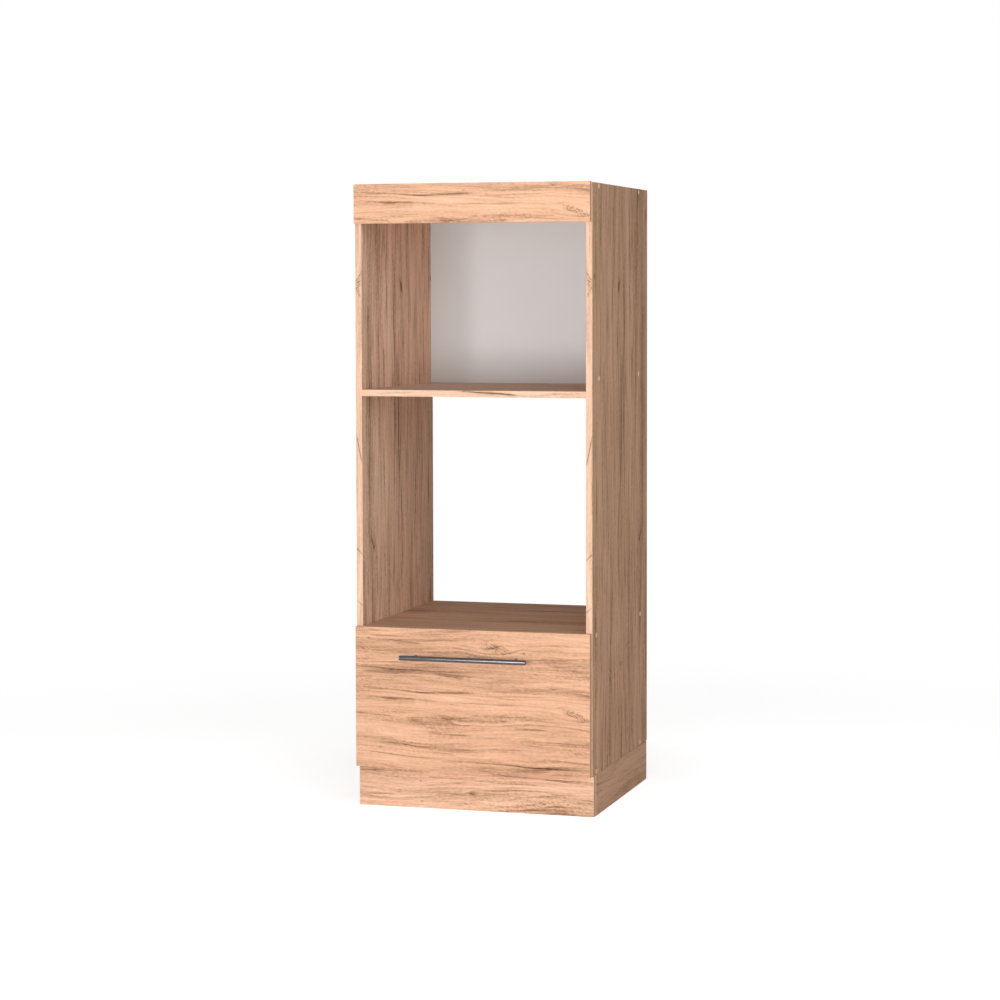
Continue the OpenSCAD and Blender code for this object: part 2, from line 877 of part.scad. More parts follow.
module rear_roller_right() {
    color("ivory") inwards(inner_x - rear_roller_s, rear_roller_pos, roller_z) roller();
}

module rear_roller_left() {
    color("ivory") mirror([1, 0, 0])
        inwards(inner_x - rear_roller_s, rear_roller_pos, roller_z) roller();
}

// Rivet with a spacer shoulder on the web and a head past the roller
module front_roller_rivets() {
    shoulder_h = front_roller_s - roller_side_air - runner_t;
    color(zinc) both_sides() inwards(inner_x, front_roller_pos, roller_z) {
        cylinder(d = rivet_d, h = front_head_s + rivet_head_h);
        translate([0, 0, runner_t]) cylinder(d = rivet_head_d, h = shoulder_h);
        translate([0, 0, front_head_s]) cylinder(d = rivet_head_d, h = rivet_head_h);
    }
}

module rear_roller_rivets() {
    shoulder_s = rear_roller_s + roller_w + roller_side_air;
    color(zinc) both_sides() inwards(inner_x - rear_head_s, rear_roller_pos, roller_z) {
        cylinder(d = rivet_d, h = runner_gap - rear_head_s);
        cylinder(d = rivet_head_d, h = rivet_head_h);
        translate([0, 0, shoulder_s - rear_head_s])
            cylinder(d = rivet_head_d, h = drawer_web_s - shoulder_s);
    }
}

// ---- Handle ----

module handle_bar() {
    chamfer = 0.6;
    color(zinc) difference() {
        translate([handle_offset - handle_len / 2, bar_y, handle_z]) rotate([0, 90, 0]) {
            cylinder(d1 = handle_d - 2 * chamfer, d2 = handle_d, h = chamfer);
            translate([0, 0, chamfer]) cylinder(d = handle_d, h = handle_len - 2 * chamfer);
            translate([0, 0, handle_len - chamfer])
                cylinder(d1 = handle_d, d2 = handle_d - 2 * chamfer, h = chamfer);
        }
        at_handle_screws() translate([0, 0, front_t + post_len - lip])
            cylinder(d = spigot_d + 2 * fit, h = spigot_len + lip + fit);
    }
}

// Post between the drawer front and the bar, hollowed to the bar and tapped for its screw
module handle_post(side) {
    difference() {
        translate([handle_offset + side * handle_spacing / 2, face_y, handle_z])
            rotate([90, 0, 0]) difference() {
                union() {
                    cylinder(d = post_d, h = post_len + lip);
                    cylinder(d = spigot_d, h = post_len + spigot_len);
                }
                translate([0, 0, -eps])
                    cylinder(d = handle_screw_d + 2 * fit, h = handle_screw_grip + lip);
            }
        translate([0, bar_y, handle_z]) rotate([0, 90, 0]) difference() {
            cylinder(r = handle_d / 2 + fit, h = 2 * half_w, center = true);
            translate([0, 0, handle_offset + side * handle_spacing / 2]) rotate([0, 90, 90])
                cylinder(d = spigot_d, h = handle_d);
        }
    }
}

module handle_post_left() {
    color(zinc) handle_post(-1);
}

module handle_post_right() {
    color(zinc) handle_post(1);
}

module handle_screws() {
    color(zinc) at_handle_screws() difference() {
        union() {
            translate([0, 0, -handle_screw_head_h])
                cylinder(d = handle_screw_head_d, h = handle_screw_head_h);
            cylinder(d = handle_screw_d, h = front_t + handle_screw_grip);
        }
        for (turn = [0, 90]) rotate([0, 0, turn])
            translate([-handle_slot.x / 2, -handle_slot.y / 2, -handle_screw_head_h - eps])
                cube(handle_slot);
    }
}

side_panel_left();
side_panel_right();
top_panel();
bottom_panel();
oven_shelf();
microwave_shelf();
upper_back_panel();
lower_back_panel();
fascia();
plinth_front();
plinth_side_left();
plinth_side_right();
plinth_rear();
confirmat_screws_left();
confirmat_screws_right();
screw_caps_left();
screw_caps_right();
cam_bolts();
cam_locks();
shelf_dowels();
fascia_brackets();
fascia_screws();
plinth_corner_brackets();
plinth_top_brackets();
plinth_screws();
runner_cabinet_left();
runner_cabinet_right();
runner_screws_cabinet();
front_roller_left();
front_roller_right();
front_roller_rivets();
drawer_front();
drawer_inner_front();
drawer_side_left();
drawer_side_right();
drawer_back();
drawer_floor();
drawer_confirmats();
drawer_front_screws();
drawer_floor_nails();
drawer_bumpers();
runner_drawer_left();
runner_drawer_right();
runner_screws_drawer();
rear_roller_left();
rear_roller_right();
rear_roller_rivets();
handle_bar();
handle_post_left();
handle_post_right();
handle_screws();
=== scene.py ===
"""Looks of the oven and microwave cabinet, dressed over its packed construction."""
import math

import bmesh
import bpy
from mathutils import Euler, Matrix, Vector


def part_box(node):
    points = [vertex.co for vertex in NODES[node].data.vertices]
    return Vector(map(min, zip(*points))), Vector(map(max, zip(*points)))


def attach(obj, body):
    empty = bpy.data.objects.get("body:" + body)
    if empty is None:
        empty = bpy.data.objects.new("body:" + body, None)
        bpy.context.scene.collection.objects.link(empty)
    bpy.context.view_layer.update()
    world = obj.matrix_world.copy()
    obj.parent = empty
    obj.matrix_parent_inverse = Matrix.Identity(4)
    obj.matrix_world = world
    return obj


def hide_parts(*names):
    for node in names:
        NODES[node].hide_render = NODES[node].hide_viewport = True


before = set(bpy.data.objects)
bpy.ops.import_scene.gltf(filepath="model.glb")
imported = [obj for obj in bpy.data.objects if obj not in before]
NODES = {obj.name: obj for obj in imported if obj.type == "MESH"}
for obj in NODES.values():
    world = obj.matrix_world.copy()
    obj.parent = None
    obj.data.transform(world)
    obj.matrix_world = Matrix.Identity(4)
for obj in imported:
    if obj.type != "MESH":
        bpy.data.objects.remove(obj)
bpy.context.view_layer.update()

# ---------------------------------------------------------------- sizes, in metres
EASE = 0.0008          # rounding of the board edges
EASE_STEPS = 2
EASE_PROFILE = 0.5     # a round edge
ON_FACE = 0.0002       # a point this near a board's box lies on its outside
SAME_POINT = 1e-6
FLAT = math.radians(1)     # faces that turn less than this are one flat face
WIDE = 0.9             # a normal's share along an axis that makes a face face that way

# The camera of the photograph
CAMERA_AT = (1.9147, -6.4220, 1.2656)
CAMERA_YAW = 0.2907
CAMERA_PITCH = 0.0550
CAMERA_ROLL = -0.0021
CAMERA_LENS = 96.01
CAMERA_SENSOR = 36.0
CAMERA_SHIFT_Y = -0.06

# Parts of the print's grain: waves a metre along and across it, place in the noise, detail
# and roughness
GRAIN = {
    "sway": (2.2, 6.0, 4.0, 1.0, 0.50),
    "ripple": (9.0, 25.0, 8.0, 1.0, 0.50),
    "shades": (0.7, 7.0, 2.0, 1.0, 0.50),
    "streaks": (1.5, 24.0, 1.0, 3.0, 0.80),
    "fibres": (8.0, 160.0, 3.0, 3.0, 0.75),
    "flecks": (90.0, 300.0, 6.0, 2.0, 0.50),
    "growth": (0.9, 22.0, 5.0, 1.5, 0.50),
    "fading": (2.5, 26.0, 7.0, 1.0, 0.50),
    "hatching": (5.0, 16.0, 9.0, 1.0, 0.50),
    "strokes": (75.0, 260.0, 11.0, 2.0, 0.60),
}
SWAY_WIDTH = 0.060     # the widest that the grain can sway, from side to side
RIPPLE_WIDTH = 0.007   # the same for its finer ripple
STROKE_LEANS = (-0.9, 0.7)     # short strokes lie slanted to the grain
HATCHED = (-0.02, 0.12)        # the hatching's values between no strokes and full ones
FADED = (-0.12, 0.16)          # the same for the rings
KNOT_STROKES = (-0.05, 0.12)   # the strokes' values between a knot's faint and dark ones
FAINT_STROKE = 0.10
RING_COUNT = 9.0       # rings across one wave of the growth pattern
RING_EDGE = 3.0        # a ring darkens slowly and ends sharply

# The print's level, which OAK_COLOURS turns to colour, and how much each part changes it
LEVEL = 0.56
LEVEL_SHARES = {
    "shades": 0.55, "streaks": 0.85, "fibres": 0.85, "flecks": 0.38, "strokes": 0.55,
    "rings": -0.26}
MARK_SHARE = -0.42     # a crack or knot at its darkest

# The pressed skin of the print: how far each part rises, against the bump's distance
FIBRE_RISE = 1.5
RING_RISE = -0.3
MARK_RISE = -1.0
OAK_BUMP = (0.20, 0.0004)
OAK_ROUGHNESS = 0.72
FIBRE_ROUGHNESS = 0.25
OAK_SPECULAR = 0.06

# A crack is a line in a wide faint shade, and fades towards its ends
CRACK_LINE = 0.70
CRACK_SHADE = 0.30
CRACK_SHADE_WIDTH = 3.5        # in half widths of the line
CRACK_ENDS = 6.0       # how fast it grows dark past each end

# A knot's reaches, in its half lengths and half widths
KNOT_REACH = (0.15, 1.15)
HEART_REACH = 0.75
PUSH_REACH = 2.6       # the grain round it is pushed aside
PUSH_SHARE = 0.7

# Decor sheet: what the front print shows, in metres along and across the grain.
# A crack runs from one point to another. A knot has a place, a half length, a half width, a
# lean, how dark its strokes are, and how dark its heart is.
FRONT_CRACKS = [
    # along, across, to along, to across, half width, strength
    (-0.310, 0.351, 0.020, 0.341, 0.0022, 0.75),
    (-0.095, 0.338, -0.015, 0.330, 0.0040, 0.45),
    (-0.310, 0.298, -0.090, 0.290, 0.0030, 0.50),
    (-0.150, 0.291, 0.012, 0.294, 0.0018, 1.00),
    (-0.310, 0.279, -0.050, 0.268, 0.0035, 0.60),
    (-0.230, 0.274, -0.140, 0.274, 0.0045, 0.60),
    (-0.060, 0.269, 0.130, 0.267, 0.0016, 0.60),
    (-0.320, 0.237, -0.180, 0.228, 0.0025, 0.55),
    (-0.200, 0.229, 0.100, 0.228, 0.0020, 0.45),
    (-0.250, 0.422, -0.120, 0.410, 0.0013, 0.55),
    (-0.200, 0.412, -0.125, 0.412, 0.0020, 0.45),
    (-0.320, 0.178, -0.180, 0.172, 0.0040, 0.60),
    (-0.120, 0.193, 0.005, 0.188, 0.0026, 0.95),
    (-0.310, 0.143, -0.040, 0.125, 0.0022, 0.80),
    (-0.080, 0.127, 0.310, 0.115, 0.0030, 0.70),
    (0.120, 0.184, 0.310, 0.179, 0.0018, 0.60),
    (0.060, 0.216, 0.300, 0.202, 0.0060, 0.30),
    (0.180, 0.372, 0.310, 0.352, 0.0060, 0.28),
]
FRONT_KNOTS = [
    # along, across, half length, half width, lean, strokes, heart
    (0.066, 0.405, 0.048, 0.016, -0.13, 1.50, 0.10),
    (0.132, 0.396, 0.012, 0.006, 0.00, 0.70, 0.50),
    (0.260, 0.251, 0.042, 0.012, -0.37, 1.60, 0.15),
    (-0.144, 0.221, 0.020, 0.006, -0.10, 0.60, 0.25),
    (0.080, 0.229, 0.018, 0.004, -0.10, 0.40, 0.40),
    (-0.263, 0.421, 0.008, 0.003, -0.30, 0.50, 0.60),
    (-0.234, 0.152, 0.007, 0.003, 0.00, 0.50, 0.90),
    (0.202, 0.313, 0.018, 0.005, -0.20, 0.40, 0.20),
    (-0.250, 0.190, 0.050, 0.010, 0.05, 0.50, 0.05),
]
FASCIA_RISE = 1.212    # the fascia is cut from the same print, this much higher

SIDE_CRACKS = [
    (1.445, -0.017, 1.490, -0.005, 0.0030, 0.45),
    (1.430, 0.142, 1.220, 0.112, 0.0045, 0.45),
    (1.240, 0.113, 1.020, 0.117, 0.0035, 0.45),
    (1.250, 0.122, 1.170, 0.131, 0.0030, 0.50),
    (1.060, 0.027, 0.780, 0.033, 0.0018, 0.65),
    (1.015, -0.194, 0.930, -0.190, 0.0030, 0.60),
    (1.070, 0.067, 0.985, 0.090, 0.0040, 0.45),
    (0.930, 0.126, 0.860, 0.138, 0.0045, 0.50),
    (0.615, -0.135, 0.525, -0.135, 0.0035, 0.55),
    (0.465, -0.017, 0.430, -0.005, 0.0040, 0.55),
    (0.800, 0.012, 0.640, -0.002, 0.0018, 0.55),
    (0.700, -0.047, 0.530, -0.052, 0.0022, 0.55),
    (0.570, 0.074, 0.520, 0.079, 0.0035, 0.50),
    (1.290, 0.118, 1.190, 0.126, 0.0030, 0.40),
]
SIDE_KNOTS = [
    (1.284, 0.006, 0.034, 0.011, 0.50, 0.90, 0.60),
    (1.306, -0.236, 0.016, 0.007, 0.00, 0.60, 0.90),
    (0.644, 0.230, 0.034, 0.012, 0.66, 0.90, 0.50),
    (0.552, 0.100, 0.014, 0.006, 0.20, 0.60, 0.50),
    (0.376, 0.090, 0.012, 0.006, 0.60, 0.60, 0.70),
    (0.341, 0.024, 0.011, 0.006, 0.50, 0.60, 0.70),
]
SIDE_CONTRAST = 1.30
PANEL_MIDDLE = 0.0265  # the left panel's print is the right one's, turned about here

PLINTH_CRACKS = [
    (0.02, 0.093, 0.16, 0.088, 0.0030, 0.60),
    (-0.30, 0.088, -0.14, 0.095, 0.0050, 0.40),
    (-0.29, 0.020, 0.30, 0.012, 0.0030, 0.35),
]
PLINTH_KNOTS = [
    (-0.006, 0.040, 0.014, 0.009, 0.00, 0.80, 0.25),
    (-0.137, 0.017, 0.008, 0.004, 0.00, 0.30, 0.60),
    (-0.140, 0.067, 0.007, 0.004, 0.00, 0.30, 0.60),
    (0.175, 0.025, 0.010, 0.004, 0.00, 0.30, 0.70),
    (0.235, 0.027, 0.006, 0.003, 0.00, 0.30, 0.60),
]

# The front edges of the side panels, mirrored left to right
SIDE_EDGE_AT = 0.292
SIDE_EDGE_KNOTS = [
    (1.292, 0.000, 0.030, 0.010, -0.15, 1.20, 0.20),
    (1.262, -0.002, 0.010, 0.005, 0.30, 0.80, 0.20),
]
SIDE_EDGE_CRACKS = [
    (0.925, 0.008, 0.845, -0.008, 0.0016, 1.00),
    (0.640, 0.009, 0.622, -0.009, 0.0016, 0.90),
    (0.512, 0.009, 0.496, -0.009, 0.0016, 0.90),
    (1.440, 0.003, 1.350, 0.001, 0.0012, 0.50),
]
SHELF_EDGE_CRACKS = [
    (-0.045, 1.0285, 0.055, 1.0245, 0.0026, 1.00),
    (0.035, 1.0245, 0.115, 1.0190, 0.0026, 1.00),
    (-0.250, 1.0200, -0.140, 1.0240, 0.0016, 0.60),
]

# How a print's colour departs from the colours below, and how strong its grain is. Some tones are
# painted light and painted shade, as said at each
PLAIN = (1.0, 1.0, 1.0)
# painted shade: the outer faces of the side panels and the plinth sides are printed a little
# darker, standing in for the lesser light on the sides
OUTER_PAINTED_SHADE = (0.93, 0.97, 0.98)
# painted light: the side panels' inner faces are printed paler and less red than the outer ones,
# offsetting the reddish light bounced inside the niches
INNER_PAINTED_LIGHT = (1.02, 1.21, 1.38)
# painted light: the fascia is printed a little lighter than the drawer front, which has the same
# print
FASCIA_PAINTED_LIGHT = (1.05, 1.06, 1.07)
PLINTH_TONE = (1.00, 1.08, 1.15)
# painted shade: the oven shelf is printed darker, where light only grazes its top
OVEN_SHELF_PAINTED_SHADE = (0.80, 0.90, 0.96)
# painted shade: the microwave shelf is printed darker and less red, where light only grazes its top
MICROWAVE_SHELF_PAINTED_SHADE = (0.80, 1.06, 1.32)
BAND_TONE = (1.06, 1.20, 1.32)
# partly painted shade: the dark joint on the eased board edges is a glue line and also stands for
# the shade along the edges
JOINT_AND_EDGE_SHADE_TONE = (0.30, 0.26, 0.24)
PLINTH_CONTRAST = 1.30
BAND_CONTRAST = 0.75
JOINT_AND_EDGE_SHADE_CONTRAST = 0.50
WHITE = (1.0, 1.0, 1.0, 1.0)

# Print colours, linear, from the heart of a crack to the palest grain
OAK_COLOURS = [
    (0.00, (0.130, 0.062, 0.038)),
    (0.16, (0.340, 0.180, 0.108)),
    (0.32, (0.560, 0.308, 0.186)),
    (0.50, (0.790, 0.448, 0.280)),
    (0.64, (0.905, 0.520, 0.333)),
    (0.84, (1.000, 0.620, 0.420)),
]


# ---------------------------------------------------------------- node trees
class Tree:
    """The nodes of a material or a world, written as calls that return sockets."""

    def __init__(self, owner):
        self.owner = owner
        self.owner.use_nodes = True
        self.tree = self.owner.node_tree
        self.tree.nodes.clear()

    def feed(self, socket, value):
        if isinstance(value, bpy.types.NodeSocket):
            self.tree.links.new(value, socket)
        else:
            socket.default_value = value

    def node(self, kind, inputs=None, **settings):
        made = self.tree.nodes.new(kind)
        for key, value in settings.items():
            setattr(made, key, value)
        for key, value in (inputs or {}).items():
            self.feed(made.inputs[key], value)
        return made

    def math(self, operation, *values, clamp=False):
        made = self.node("ShaderNodeMath", operation=operation, use_clamp=clamp)
        for socket, value in zip(made.inputs, values):
            self.feed(socket, value)
        return made.outputs[0]

    def blend(self, first, second, share):
        """Two values mixed, with this share of the first."""
        return self.math("MULTIPLY_ADD", first, share, self.math("MULTIPLY", second, 1.0 - share))

    def vary(self, noise, spread, middle):
        """A value that noise between 0 and 1 takes up and down round a middle."""
        return self.math("MULTIPLY_ADD", noise, spread, middle - spread / 2)

    def point(self):
        """Where a point is on the object, as one socket."""
        return self.node("ShaderNodeTexCoord").outputs["Object"]

    def place(self):
        """Where a point is on the object, as three sockets."""
        return tuple(self.node("ShaderNodeSeparateXYZ", {0: self.point()}).outputs)

    def vector(self, x, y, z):
        return self.node("ShaderNodeCombineXYZ", {0: x, 1: y, 2: z}).outputs[0]

    def stretched(self, scales):
        """The point on the object, scaled: marks stretch along the axes with small scales."""
        return self.node("ShaderNodeVectorMath", {0: self.point(), 1: scales},
                         operation="MULTIPLY").outputs[0]

    def length(self, vector):
        return self.node("ShaderNodeVectorMath", {0: vector}, operation="LENGTH").outputs["Value"]

    def noise(self, vector, detail=2.0, roughness=0.5, scale=1.0):
        made = self.node("ShaderNodeTexNoise", {
            "Vector": vector, "Scale": scale, "Detail": detail, "Roughness": roughness})
        return made.outputs["Fac"]

    def ease(self, value, low, high, to_low=0.0, to_high=1.0):
        made = self.node("ShaderNodeMapRange", {
            "Value": value, "From Min": low, "From Max": high,
            "To Min": to_low, "To Max": to_high}, interpolation_type="SMOOTHSTEP")
        return made.outputs["Result"]

    def ramp(self, value, stops):
        made = self.node("ShaderNodeValToRGB", {"Fac": value})
        elements = made.color_ramp.elements
        while len(elements) < len(stops):
            elements.new(0.5)
        for element, (position, colour) in zip(elements, stops):
            element.position = position
            element.color = (*colour, 1.0)
        return made.outputs["Color"]

    def tint(self, colour, tone):
        """A colour multiplied by a plain tone."""
        made = self.node("ShaderNodeMix", data_type="RGBA", blend_type="MULTIPLY")
        for key, value in (("Factor", 1.0), ("A", colour), ("B", (*tone, 1.0))):
            sockets = [socket for socket in made.inputs if socket.name == key and socket.enabled]
            self.feed(sockets[0], value)
        return [socket for socket in made.outputs if socket.enabled][0]

    def bump(self, height, strength, distance):
        made = self.node("ShaderNodeBump", {
            "Height": height, "Strength": strength, "Distance": distance})
        return made.outputs["Normal"]

    def seen(self):
        """One for a ray that the eye follows: straight, mirrored or through glass."""
        path = self.node("ShaderNodeLightPath").outputs
        straight = self.math("MAXIMUM", path["Is Camera Ray"], path["Is Glossy Ray"])
        return self.math("MAXIMUM", straight, path["Is Transmission Ray"])

    def emission(self, strength):
        return self.node("ShaderNodeEmission", {"Color": WHITE, "Strength": strength}).outputs[0]

    def end(self, shader, output="ShaderNodeOutputMaterial"):
        self.node(output, {"Surface": shader})
        return self.owner

    def finish(self, **inputs):
        """Ends the tree in one Principled shader with these sockets."""
        shader = self.node("ShaderNodeBsdfPrincipled")
        for key, value in inputs.items():
            self.feed(shader.inputs[key.replace("_", " ")], value)
        return self.end(shader.outputs[0])


def material_tree(name):
    return Tree(bpy.data.materials.new(name))


# ---------------------------------------------------------------- the oak print
def crack(tree, along, across, line):
    """How dark a crack of the print is at a point."""
    start, start_across, end, end_across, half_width, strength = line
    share = tree.node("ShaderNodeMapRange", {
        "Value": along, "From Min": start, "From Max": end}, clamp=False).outputs["Result"]
    middle = tree.math("MULTIPLY_ADD", share, end_across - start_across, start_across)
    off = tree.math("ABSOLUTE", tree.math("SUBTRACT", across, middle))
    profile = tree.math("ADD", tree.ease(off, 0.0, half_width, CRACK_LINE, 0.0),
                        tree.ease(off, 0.0, CRACK_SHADE_WIDTH * half_width, CRACK_SHADE, 0.0))
    remain = tree.math("SUBTRACT", 1.0, share)
    window = tree.math("MULTIPLY", tree.math("MULTIPLY", share, remain), CRACK_ENDS, clamp=True)
    return tree.math("MULTIPLY", tree.math("MULTIPLY", profile, window), strength)


def knot(tree, along, across, spot, strokes):
    """How dark a knot of the print is at a point, and how far it pushes the grain aside."""
    at, at_across, half_length, half_width, lean, stroke_strength, heart_strength = spot
    step = tree.math("SUBTRACT", along, at)
    axis = tree.math("MULTIPLY_ADD", step, lean, at_across)
    off = tree.math("SUBTRACT", across, axis)
    reach = tree.length(tree.vector(tree.math("DIVIDE", step, half_length),
                                    tree.math("DIVIDE", off, half_width), 0.0))
    near = tree.ease(reach, *KNOT_REACH, 1.0, 0.0)
    heart = tree.ease(reach, 0.0, HEART_REACH, heart_strength, 0.0)
    dark = tree.math("MULTIPLY_ADD", tree.math("MULTIPLY", near, strokes), stroke_strength, heart)
    push = tree.math("MULTIPLY", tree.ease(reach, 0.0, PUSH_REACH, PUSH_SHARE, 0.0), off)
    return dark, push


def sum_of(tree, sockets):
    total = sockets[0]
    for socket in sockets[1:]:
        total = tree.math("ADD", total, socket)
    return total


def wave(tree, part, seed, along, across):
    """One part of the grain: noise about zero, stretched along the grain."""
    along_scale, across_scale, offset, detail, roughness = GRAIN[part]
    at = tree.vector(tree.math("MULTIPLY", along, along_scale),
                     tree.math("MULTIPLY", across, across_scale), seed + offset)
    return tree.math("SUBTRACT", tree.noise(at, detail=detail, roughness=roughness), 0.5)


def print_axes(tree, grain, shift, turned, edge_at, marked):
    """Where a point is on the print: along and across its grain. A print without marks also
    varies through the board, so that its faces differ."""
    x, y, z = tree.place()
    along, first, second = {"x": (x, y, z), "y": (y, x, z), "z": (z, x, y)}[grain]
    if turned:
        second = tree.math("SUBTRACT", 2 * PANEL_MIDDLE, second)
    if edge_at is not None:
        second = tree.math("ABSOLUTE", first)
        shift = edge_at
    across = tree.math("SUBTRACT", second, shift)
    if not marked:
        across = tree.math("ADD", across, first)
    return along, across


def print_marks(tree, along, across, line_across, strokes, cracks, knots):
    """How dark each crack and knot is at a point, and how far each knot pushes the grain."""
    knot_strokes = tree.ease(strokes, *KNOT_STROKES, FAINT_STROKE, 1.0)
    marks, pushes = [], []
    for spot in knots:
        dark, push = knot(tree, along, across, spot, knot_strokes)
        marks.append(dark)
        pushes.append(push)
    for line in cracks:
        marks.append(crack(tree, along, line_across, line))
    return marks, pushes


def grain_parts(tree, seed, along, across, flow, strokes):
    """The parts of the grain that change the print's level, by name."""
    parts = {part: wave(tree, part, seed, along, flow)
             for part in ("shades", "streaks", "fibres", "flecks")}
    hatching = tree.ease(wave(tree, "hatching", seed, along, across), *HATCHED)
    parts["strokes"] = tree.math("MULTIPLY", strokes, hatching)
    growth = tree.math("MULTIPLY", wave(tree, "growth", seed, along, flow), RING_COUNT)
    ring = tree.math("POWER", tree.math("FRACT", growth), RING_EDGE)
    fading = tree.ease(wave(tree, "fading", seed, along, flow), *FADED)
    parts["rings"] = tree.math("MULTIPLY", ring, fading)
    return parts


def oak(name, grain, seed=0.0, tone=PLAIN, cracks=(), knots=(), shift=0.0, turned=False,
        contrast=1.0, edge_at=None):
    """Oak print with its grain along one axis. Shift moves the print across the grain.
    Edge_at gives a pair of edges, this far left and right of the middle, one mirrored print."""
    tree = material_tree(name)
    along, across = print_axes(tree, grain, shift, turned, edge_at, bool(cracks or knots))
    sway = tree.math("MULTIPLY", wave(tree, "sway", seed, along, across), SWAY_WIDTH)
    ripple = tree.math("MULTIPLY", wave(tree, "ripple", seed, along, across), RIPPLE_WIDTH)
    strokes = wave(tree, "strokes", seed, tree.math("MULTIPLY_ADD", across, STROKE_LEANS[0], along),
                   tree.math("MULTIPLY_ADD", along, STROKE_LEANS[1], across))
    marks, pushes = print_marks(tree, along, across, tree.math("ADD", across, ripple), strokes,
                                cracks, knots)
    flow = tree.math("ADD", tree.math("ADD", across, sway), ripple)
    if pushes:
        flow = tree.math("SUBTRACT", flow, sum_of(tree, pushes))

    parts = grain_parts(tree, seed, along, across, flow, strokes)
    level = LEVEL
    for part, share in LEVEL_SHARES.items():
        level = tree.math("MULTIPLY_ADD", parts[part], share * contrast, level)
    height = tree.math("MULTIPLY_ADD", parts["fibres"], FIBRE_RISE,
                       tree.math("MULTIPLY", parts["rings"], RING_RISE))
    if marks:
        darkness = tree.math("MINIMUM", sum_of(tree, marks), 1.0)
        level = tree.math("MULTIPLY_ADD", darkness, MARK_SHARE, level)
        height = tree.math("MULTIPLY_ADD", darkness, MARK_RISE, height)
    roughness = tree.math("MULTIPLY_ADD", parts["fibres"], FIBRE_ROUGHNESS, OAK_ROUGHNESS)
    return tree.finish(Base_Color=tree.tint(tree.ramp(level, OAK_COLOURS), tone),
                       Roughness=roughness, Specular_IOR_Level=OAK_SPECULAR,
                       Normal=tree.bump(height, *OAK_BUMP))


# ---------------------------------------------------------------- other materials
def chipboard():
    """Raw board edge: pressed chips of many shades."""
    tree = material_tree("chipboard")
    at = tree.point()
    chips = tree.node("ShaderNodeTexVoronoi", {"Vector": at, "Scale": 420.0, "Randomness": 1.0})
    shade = tree.node("ShaderNodeSeparateColor", {0: chips.outputs["Color"]}).outputs[0]
    level = tree.blend(tree.noise(at, detail=4.0, scale=900.0), shade, 0.5)
    colour = tree.ramp(level, [(0.10, (0.27, 0.155, 0.090)), (0.45, (0.58, 0.38, 0.24)),
                               (0.85, (0.80, 0.59, 0.41))])
    return tree.finish(Base_Color=colour, Roughness=0.9, Specular_IOR_Level=0.2,
                       Normal=tree.bump(level, strength=0.5, distance=0.0006))


def lacquered_board():
    """The pale grey face of the hardboard."""
    tree = material_tree("hardboard_face")
    at = tree.point()
    cloud = tree.noise(at, detail=3.0, scale=5.0)
    grit = tree.noise(at, detail=3.0, scale=700.0)
    colour = tree.ramp(tree.blend(grit, cloud, 0.15),
                       [(0.25, (0.745, 0.780, 0.800)), (0.75, (0.785, 0.820, 0.840))])
    return tree.finish(Base_Color=colour, Roughness=tree.vary(cloud, 0.1, 0.47),
                       Specular_IOR_Level=0.35,
                       Normal=tree.bump(grit, strength=0.08, distance=0.0003))


def raw_hardboard():
    """The brown back of the hardboard, with its pressed fibres."""
    tree = material_tree("hardboard_back")
    at = tree.point()
    fibre = tree.noise(at, detail=5.0, scale=160.0, roughness=0.7)
    level = tree.blend(fibre, tree.noise(at, scale=9.0), 0.7)
    colour = tree.ramp(level, [(0.30, (0.190, 0.105, 0.058)), (0.50, (0.330, 0.200, 0.115)),
                               (0.72, (0.470, 0.310, 0.190))])
    return tree.finish(Base_Color=colour, Roughness=0.75, Specular_IOR_Level=0.3,
                       Normal=tree.bump(fibre, strength=0.35, distance=0.0005))


def metal(name, dark, pale, roughness, streak=(1.0, 1.0, 1.0), scale=260.0, height=0.1,
          spread=0.14):
    """Steel with fine marks. Streak stretches the marks along the axes with small values."""
    tree = material_tree(name)
    marks = tree.noise(tree.stretched(streak), detail=4.0, scale=scale, roughness=0.6)
    return tree.finish(Base_Color=tree.ramp(marks, [(0.30, dark), (0.70, pale)]), Metallic=1.0,
                       Roughness=tree.vary(marks, spread, roughness),
                       Normal=tree.bump(marks, strength=height, distance=0.0002))


def plastic(name, dark, pale, roughness, specular=0.45):
    """Moulded plastic or enamel with a faint, uneven skin."""
    tree = material_tree(name)
    at = tree.point()
    skin = tree.noise(at, scale=350.0)
    colour = tree.ramp(tree.blend(skin, tree.noise(at, scale=60.0), 0.35),
                       [(0.30, dark), (0.70, pale)])
    return tree.finish(Base_Color=colour, Roughness=tree.vary(skin, 0.12, roughness),
                       Specular_IOR_Level=specular,
                       Normal=tree.bump(skin, strength=0.08, distance=0.0002))


def beech():
    """Turned beech, its grain along the dowel."""
    tree = material_tree("beech")
    grain = tree.noise(tree.stretched((25.0, 700.0, 700.0)), detail=3.0)
    colour = tree.ramp(grain, [(0.3, (0.52, 0.34, 0.18)), (0.7, (0.72, 0.52, 0.31))])
    return tree.finish(Base_Color=colour, Roughness=0.7, Specular_IOR_Level=0.3,
                       Normal=tree.bump(grain, strength=0.3, distance=0.0004))


# ---------------------------------------------------------------- boards
def node_shape(node):
    """A copy of a node's shape, its doubled points joined."""
    shape = bmesh.new()
    shape.from_mesh(NODES[node].data)
    bmesh.ops.remove_doubles(shape, verts=shape.verts, dist=SAME_POINT)
    return shape


def thin_axis(low, high):
    """The axis along which a board is thinnest."""
    return min(range(3), key=lambda axis: (high - low)[axis])


def on_box_edge(edge, low, high):
    """True where both ends of a mesh edge lie on the same two sides of the board's box."""
    shared = 0
    for axis in range(3):
        for side in (low, high):
            if all(abs(end.co[axis] - side[axis]) < ON_FACE for end in edge.verts):
                shared += 1
                break
    return shared >= 2


